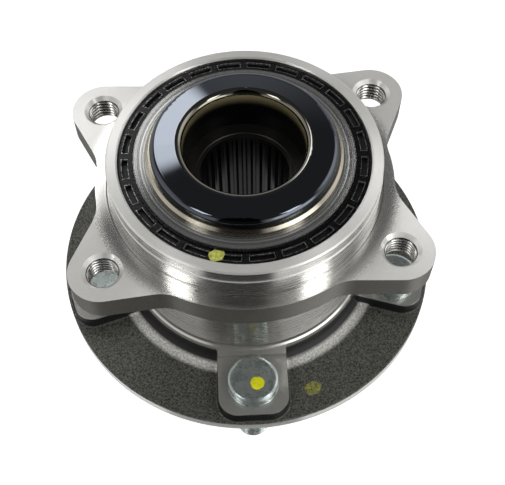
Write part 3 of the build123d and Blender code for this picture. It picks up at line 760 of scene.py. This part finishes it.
def towards(azimuth, elevation):
    """A direction; the azimuth runs from +X towards +Y, both in degrees."""
    a, e = radians(azimuth), radians(elevation)
    return Vector((cos(e) * cos(a), cos(e) * sin(a), sin(e)))


wall_light = 0.86
ceiling_light = 0.11
wall_end = 0.32                  # sine of the elevation up to which the walls are bright
ceiling_start = 0.70             # and from which the tent is dark
light_on_matt = 0.35             # what the tent gives to surfaces that don't mirror it

world = bpy.data.worlds.new("light_tent")
bpy.context.scene.world = world
world.use_nodes = True
world.node_tree.nodes.clear()
sky = world.node_tree
ray = add_node(sky, "LightPath")
direction = add_node(sky, "TexCoord")["Generated"]
rise = add_node(sky, "SeparateXYZ", {0: direction})["Z"]
walls = add_node(sky, "MapRange", {0: rise, 1: wall_end, 2: ceiling_start, 3: wall_light, 4: ceiling_light},
                 interpolation_type="SMOOTHSTEP")[0]
tent = add_node(sky, "Math", {0: walls, 1: see_opening(sky, direction)}, operation="MULTIPLY")["Value"]
glows = (                        # azimuth, elevation, half width and soft edge in degrees, radiance
    (110, 41, 6, 6, 5.8),
    (104, 37, 3, 5, 5.8),
    (113, 47, 4, 6, 5.4),
    (170, 30, 12, 14, 0.75),
    (20, 30, 14, 14, 1.8),
    (-44, 12, 18, 12, 3.2),
)
for azimuth, elevation, half_width, soft_edge, radiance in glows:
    lined_up = add_node(sky, "VectorMath", {0: direction, 1: towards(azimuth, elevation)},
                        operation="DOT_PRODUCT")["Value"]
    glow = add_node(sky, "MapRange", {0: lined_up, 1: cos(radians(half_width + soft_edge)),
                                      2: cos(radians(half_width)), 3: 0.0, 4: radiance},
                    interpolation_type="SMOOTHSTEP")[0]
    tent = add_node(sky, "Math", {0: tent, 1: glow}, operation="MAXIMUM")["Value"]
in_metal = add_node(sky, "Mix", {0: ray["Is Glossy Ray"], 2: light_on_matt, 3: tent}, data_type="FLOAT")[0]
direct = add_node(sky, "Math", {0: ray["Is Camera Ray"], 1: ray["Is Transmission Ray"]},
                  operation="MAXIMUM")["Value"]
strength = add_node(sky, "Mix", {0: direct, 2: in_metal, 3: 1.0}, data_type="FLOAT")[0]
background = add_node(sky, "Background", {"Color": (1, 1, 1, 1), "Strength": strength})["Background"]
add_node(sky, "OutputWorld", {"Surface": background})

lamp_aim = Vector((0, 0, 60 * mm))
lamp_distance = 0.9


def add_softbox(name, azimuth, elevation, width, height, radiance, in_gloss=True):
    """A rectangular lamp that faces the part."""
    away = towards(azimuth, elevation)
    lamp = bpy.data.lights.new(name, "AREA")
    lamp.shape = "RECTANGLE"
    lamp.size = width
    lamp.size_y = height
    lamp.energy = radiance * pi * width * height
    box = bpy.data.objects.new(name, lamp)
    turn = away.to_track_quat("Z", "Y").to_matrix().to_4x4()
    box.matrix_world = Matrix.Translation(lamp_aim + lamp_distance * away) @ turn
    box.visible_camera = False
    box.visible_glossy = in_gloss
    bpy.context.scene.collection.objects.link(box)


add_softbox("back_softbox", 100, 50, 0.42, 0.36, 2.0, in_gloss=False)
add_softbox("front_left_lamp", 212, 48, 0.20, 0.30, 6.2)
add_softbox("front_right_lamp", 322, 48, 0.20, 0.30, 7.2)

# Camera
# A hand-held view from above the knuckle side, as fitted to the rings, holes and stud heads.
eye = Vector((-10.31, -175.86, 299.23)) * mm
view_turn = radians(-4.12)
view_fall = radians(58.523)
view_roll = radians(-0.479)
focal_share = 894.348 / 505      # focal length over the picture's width

camera_data = bpy.data.cameras.new("camera")
camera_data.sensor_width = 36.0
camera_data.lens = camera_data.sensor_width * focal_share
camera_data.clip_start = 0.01
camera = bpy.data.objects.new("camera", camera_data)
camera.matrix_world = (Matrix.Translation(eye) @ Matrix.Rotation(view_turn, 4, "Z")
                       @ Matrix.Rotation(pi / 2 - view_fall, 4, "X") @ Matrix.Rotation(view_roll, 4, "Z"))
bpy.context.scene.collection.objects.link(camera)
bpy.context.scene.camera = camera
bpy.context.scene.view_settings.view_transform = "Standard"
